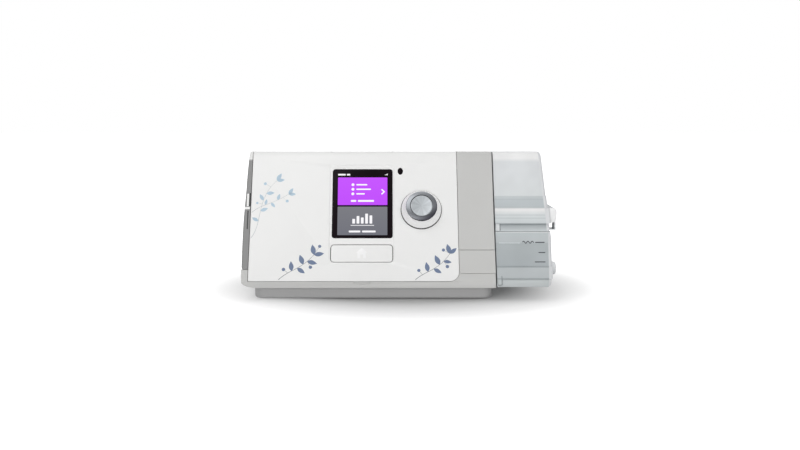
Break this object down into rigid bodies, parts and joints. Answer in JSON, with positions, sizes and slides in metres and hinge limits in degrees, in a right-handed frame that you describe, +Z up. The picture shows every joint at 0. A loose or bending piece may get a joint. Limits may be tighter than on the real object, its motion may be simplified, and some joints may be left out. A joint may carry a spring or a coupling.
{
  "type": "cpap machine",
  "caption": "Bedside breathing-therapy blower with a leaning front, colour screen, press-and-turn dial, keys and a docked clear humidifier tub.",
  "frame": {"origin": "middle of the footprint of the whole machine with its tub docked, on the surface it stands on", "axes": "+X to the right when facing the screen (the long way, towards the tub), -Y towards the user, +Z up"},
  "size_m": [0.256, 0.15, 0.118],
  "materials": {
    "white_plastic": "fine satin moulding",
    "light_grey_plastic": "fine satin moulding",
    "mid_grey_plastic": "fine satin moulding",
    "dark_grey_plastic": "matt moulding",
    "black_glass": "polished",
    "black_plastic": "matt",
    "rubber": "matt",
    "metal": "spun and polished",
    "circuit_board": "solder mask",
    "clear_plastic": "polished, lightly frosted bands",
    "foam": "open foam",
    "cream_plastic": "matt moulding"
  },
  "bodies": {
    "machine": {"base_tray": "dark_grey_plastic", "foot_front_left": "rubber", "foot_rear_left": "rubber", "foot_front_right": "rubber", "foot_rear_right": "rubber", "case_screw_front_left": "metal", "case_screw_rear_left": "metal", "case_screw_front_right": "metal", "case_screw_rear_right": "metal", "main_housing": "light_grey_plastic", "front_top_cover": "white_plastic", "left_side_panel": "mid_grey_plastic", "rear_panel": "light_grey_plastic", "display_lens": "black_glass", "display_module": "black_plastic", "home_switch": "black_plastic", "ui_board": "circuit_board", "label_plate": "light_grey_plastic", "light_sensor_window": "black_glass", "encoder_body": "black_plastic", "start_switch": "black_plastic", "side_board": "circuit_board", "sd_socket": "metal", "adapter_connector": "black_plastic", "air_filter": "foam", "power_socket": "black_plastic", "air_outlet": "white_plastic", "main_board": "circuit_board", "blower_housing": "cream_plastic", "blower_cap": "cream_plastic", "blower_motor": "metal", "blower_mount_1": "rubber", "blower_mount_2": "rubber", "blower_mount_3": "rubber", "inlet_muffler": "cream_plastic", "supply_duct": "rubber", "return_duct": "rubber", "humidifier_bay": "light_grey_plastic", "heater_insulator": "cream_plastic", "heater_plate": "metal"},
    "home_key": {"home_button": "white_plastic"},
    "start_key": {"start_button": "white_plastic"},
    "dial_plunger": {"encoder_sleeve": "black_plastic"},
    "dial": {"dial_skirt": "white_plastic", "dial_ring": "metal", "dial_face": "metal", "encoder_shaft": "metal"},
    "fan_rotor": {"impeller": "black_plastic", "motor_shaft": "metal"},
    "card_flap": {"sd_cover": "light_grey_plastic"},
    "adapter_flap": {"adapter_cover": "light_grey_plastic"},
    "memory_card": {"sd_card": "black_plastic"},
    "filter_door": {"filter_cover": "light_grey_plastic"},
    "retainer": {"plug_retainer": "light_grey_plastic"},
    "tub": {"tub_base": "clear_plastic", "tub_heat_plate": "metal", "tub_deck": "clear_plastic", "tub_seal": "foam", "tub_hinge_pin": "metal"},
    "tub_top": {"tub_lid": "clear_plastic"}
  },
  "joints": [
    {"name": "home_press", "type": "slide", "parent": "machine", "child": "home_key", "axis": [0, 0.9063, -0.4226], "range_m": [0, 0.0006], "stiffness_N_per_m": 2000},
    {"name": "start_press", "type": "slide", "parent": "machine", "child": "start_key", "axis": [0, 0, -1], "range_m": [0, 0.0006], "stiffness_N_per_m": 2500},
    {"name": "dial_press", "type": "slide", "parent": "machine", "child": "dial_plunger", "axis": [0, 0.9063, -0.4226], "range_m": [0, 0.0006], "stiffness_N_per_m": 3500},
    {"name": "dial_turn", "type": "hinge", "parent": "dial_plunger", "child": "dial", "pos_m": [0.0178, -0.04947, 0.07124], "axis": [0, -0.9063, 0.4226], "continuous": true},
    {"name": "impeller_spin", "type": "hinge", "parent": "machine", "child": "fan_rotor", "pos_m": [-0.062, 0.026, 0.045], "axis": [0, 0, 1], "continuous": true},
    {"name": "card_flap_hinge", "type": "hinge", "parent": "machine", "child": "card_flap", "pos_m": [-0.1262, -0.028, 0.0834], "axis": [0, 1, 0], "range_deg": [0, 95]},
    {"name": "adapter_flap_hinge", "type": "hinge", "parent": "machine", "child": "adapter_flap", "pos_m": [-0.12668, -0.028, 0.0724], "axis": [0, 1, 0], "range_deg": [0, 95]},
    {"name": "memory_card_push", "type": "slide", "parent": "machine", "child": "memory_card", "axis": [1, 0, 0], "range_m": [0, 0.001], "stiffness_N_per_m": 800},
    {"name": "filter_door_hinge", "type": "hinge", "parent": "machine", "child": "filter_door", "pos_m": [-0.109, 0.0695, 0.083], "axis": [0, 0, 1], "range_deg": [0, 110]},
    {"name": "retainer_hinge", "type": "hinge", "parent": "machine", "child": "retainer", "pos_m": [0.023, 0.0704, 0.047], "axis": [1, 0, 0], "range_deg": [0, 100]},
    {"name": "tub_slide", "type": "slide", "parent": "machine", "child": "tub", "axis": [1, 0, 0], "range_m": [0, 0.08]},
    {"name": "tub_lid_hinge", "type": "hinge", "parent": "tub", "child": "tub_top", "pos_m": [0.09975, 0.0704, 0.056], "axis": [-1, 0, 0], "range_deg": [0, 95]}
  ]
}
